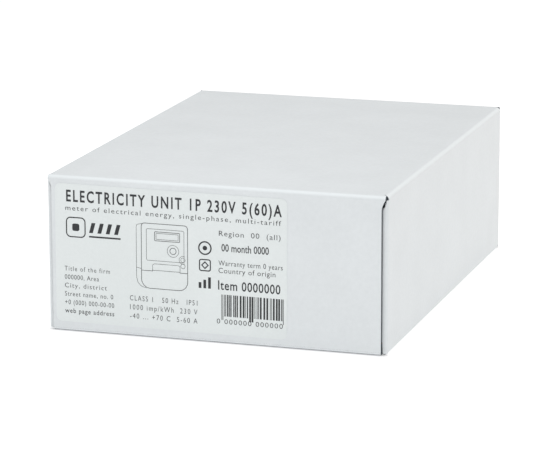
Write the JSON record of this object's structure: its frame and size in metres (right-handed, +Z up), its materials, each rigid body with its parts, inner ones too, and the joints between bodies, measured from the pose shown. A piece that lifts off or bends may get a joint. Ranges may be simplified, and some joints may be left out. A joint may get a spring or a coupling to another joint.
{
  "type": "boxed electricity meter",
  "caption": "Closed white tuck-end carton with a label on its end, holding a wall-mounted smart electricity meter in a board tray with its booklet.",
  "frame": {"origin": "middle of the carton underside, where it rests", "axes": "+Z up, +Y along the carton away from the labelled end, +X to the right seen from the labelled end"},
  "size_m": [0.15, 0.2031, 0.068],
  "materials": {
    "white_board": "white lined micro-flute board, smooth",
    "label_film": "satin printed label",
    "kraft_board": "brown kraft board",
    "booklet_paper": "matte paper",
    "housing_plastic": "fine moulded grain",
    "cover_plastic": "fine moulded grain",
    "nameplate_plastic": "smooth satin film",
    "clear_plastic": "clear polycarbonate, polished",
    "display_glass": "grey-green display glass",
    "black_plastic": "moulded black",
    "grey_plastic": "moulded grey",
    "steel": "zinc plated",
    "brass": "machined",
    "copper": "rolled copper strip",
    "circuit_board": "green solder mask",
    "blue_plastic": "blue sleeve"
  },
  "bodies": {
    "carton": {"backup_battery": "blue_plastic", "board_screw_1": "steel", "board_screw_2": "steel", "board_screw_3": "steel", "board_screw_4": "steel", "carton_sleeve": "white_board", "compartment_lid": "housing_plastic", "current_shunt": "steel", "faceplate": "nameplate_plastic", "front_cover": "housing_plastic", "hanging_bracket": "steel", "insert_tray": "kraft_board", "instruction_booklet": "booklet_paper", "lcd_frame": "grey_plastic", "lcd_panel": "display_glass", "lcd_window": "clear_plastic", "live_in_bar": "copper", "live_out_bar": "copper", "load_switch": "black_plastic", "lower_switch": "black_plastic", "main_board": "circuit_board", "meter_base": "housing_plastic", "metering_chip": "black_plastic", "neutral_bar": "copper", "optical_port_lens": "clear_plastic", "optical_port_ring": "steel", "optical_transceiver": "black_plastic", "power_transformer": "black_plastic", "radio_board": "circuit_board", "radio_shield": "steel", "supply_capacitor": "black_plastic", "surge_varistor": "blue_plastic", "terminal_block": "black_plastic", "terminal_clamp_1": "brass", "terminal_clamp_2": "brass", "terminal_clamp_3": "brass", "terminal_clamp_4": "brass", "terminal_cover": "cover_plastic", "terminal_cover_screw_1": "steel", "terminal_cover_screw_2": "steel", "terminal_screw_1a": "steel", "terminal_screw_1b": "steel", "terminal_screw_2a": "steel", "terminal_screw_2b": "steel", "terminal_screw_3a": "steel", "terminal_screw_3b": "steel", "terminal_screw_4a": "steel", "terminal_screw_4b": "steel", "upper_switch": "black_plastic"},
    "front_closure": {"front_closure": "white_board", "product_label": "label_film"},
    "front_tuck": {"front_tuck": "white_board"},
    "front_left_dust_flap": {"front_left_dust_flap": "white_board"},
    "front_right_dust_flap": {"front_right_dust_flap": "white_board"},
    "back_closure": {"back_closure": "white_board"},
    "back_tuck": {"back_tuck": "white_board"},
    "back_left_dust_flap": {"back_left_dust_flap": "white_board"},
    "back_right_dust_flap": {"back_right_dust_flap": "white_board"},
    "upper_button": {"upper_button": "grey_plastic"},
    "lower_button": {"lower_button": "grey_plastic"}
  },
  "joints": [
    {"name": "front_closure_hinge", "type": "hinge", "parent": "carton", "child": "front_closure", "pos_m": [0, -0.10097, 0.06747], "axis": [-1, 0, 0], "range_deg": [0, 165]},
    {"name": "front_tuck_fold", "type": "hinge", "parent": "front_closure", "child": "front_tuck", "pos_m": [0, -0.10097, 0.00203], "axis": [-1, 0, 0], "range_deg": [0, 34]},
    {"name": "front_left_dust_fold", "type": "hinge", "parent": "carton", "child": "front_left_dust_flap", "pos_m": [-0.07447, -0.09947, 0.0345], "axis": [0, 0, -1], "range_deg": [0, 83]},
    {"name": "front_right_dust_fold", "type": "hinge", "parent": "carton", "child": "front_right_dust_flap", "pos_m": [0.07447, -0.09947, 0.0345], "axis": [0, 0, 1], "range_deg": [0, 83]},
    {"name": "back_closure_hinge", "type": "hinge", "parent": "carton", "child": "back_closure", "pos_m": [0, 0.10097, 0.06747], "axis": [1, 0, 0], "range_deg": [0, 165]},
    {"name": "back_tuck_fold", "type": "hinge", "parent": "back_closure", "child": "back_tuck", "pos_m": [0, 0.10097, 0.00203], "axis": [1, 0, 0], "range_deg": [0, 34]},
    {"name": "back_left_dust_fold", "type": "hinge", "parent": "carton", "child": "back_left_dust_flap", "pos_m": [-0.07447, 0.09947, 0.0345], "axis": [0, 0, 1], "range_deg": [0, 83]},
    {"name": "back_right_dust_fold", "type": "hinge", "parent": "carton", "child": "back_right_dust_flap", "pos_m": [0.07447, 0.09947, 0.0345], "axis": [0, 0, -1], "range_deg": [0, 83]},
    {"name": "upper_button_press", "type": "slide", "parent": "carton", "child": "upper_button", "axis": [0, 0, -1], "range_m": [0, 0.001], "stiffness_N_per_m": 1500},
    {"name": "lower_button_press", "type": "slide", "parent": "carton", "child": "lower_button", "axis": [0, 0, -1], "range_m": [0, 0.001], "stiffness_N_per_m": 1500}
  ],
  "couplings": [
    {"joint": "front_tuck_fold", "follows": "front_closure_hinge", "ratio": 0.2},
    {"joint": "front_left_dust_fold", "follows": "front_closure_hinge", "ratio": 0.5},
    {"joint": "front_right_dust_fold", "follows": "front_closure_hinge", "ratio": 0.5},
    {"joint": "back_tuck_fold", "follows": "back_closure_hinge", "ratio": 0.2},
    {"joint": "back_left_dust_fold", "follows": "back_closure_hinge", "ratio": 0.5},
    {"joint": "back_right_dust_fold", "follows": "back_closure_hinge", "ratio": 0.5}
  ]
}
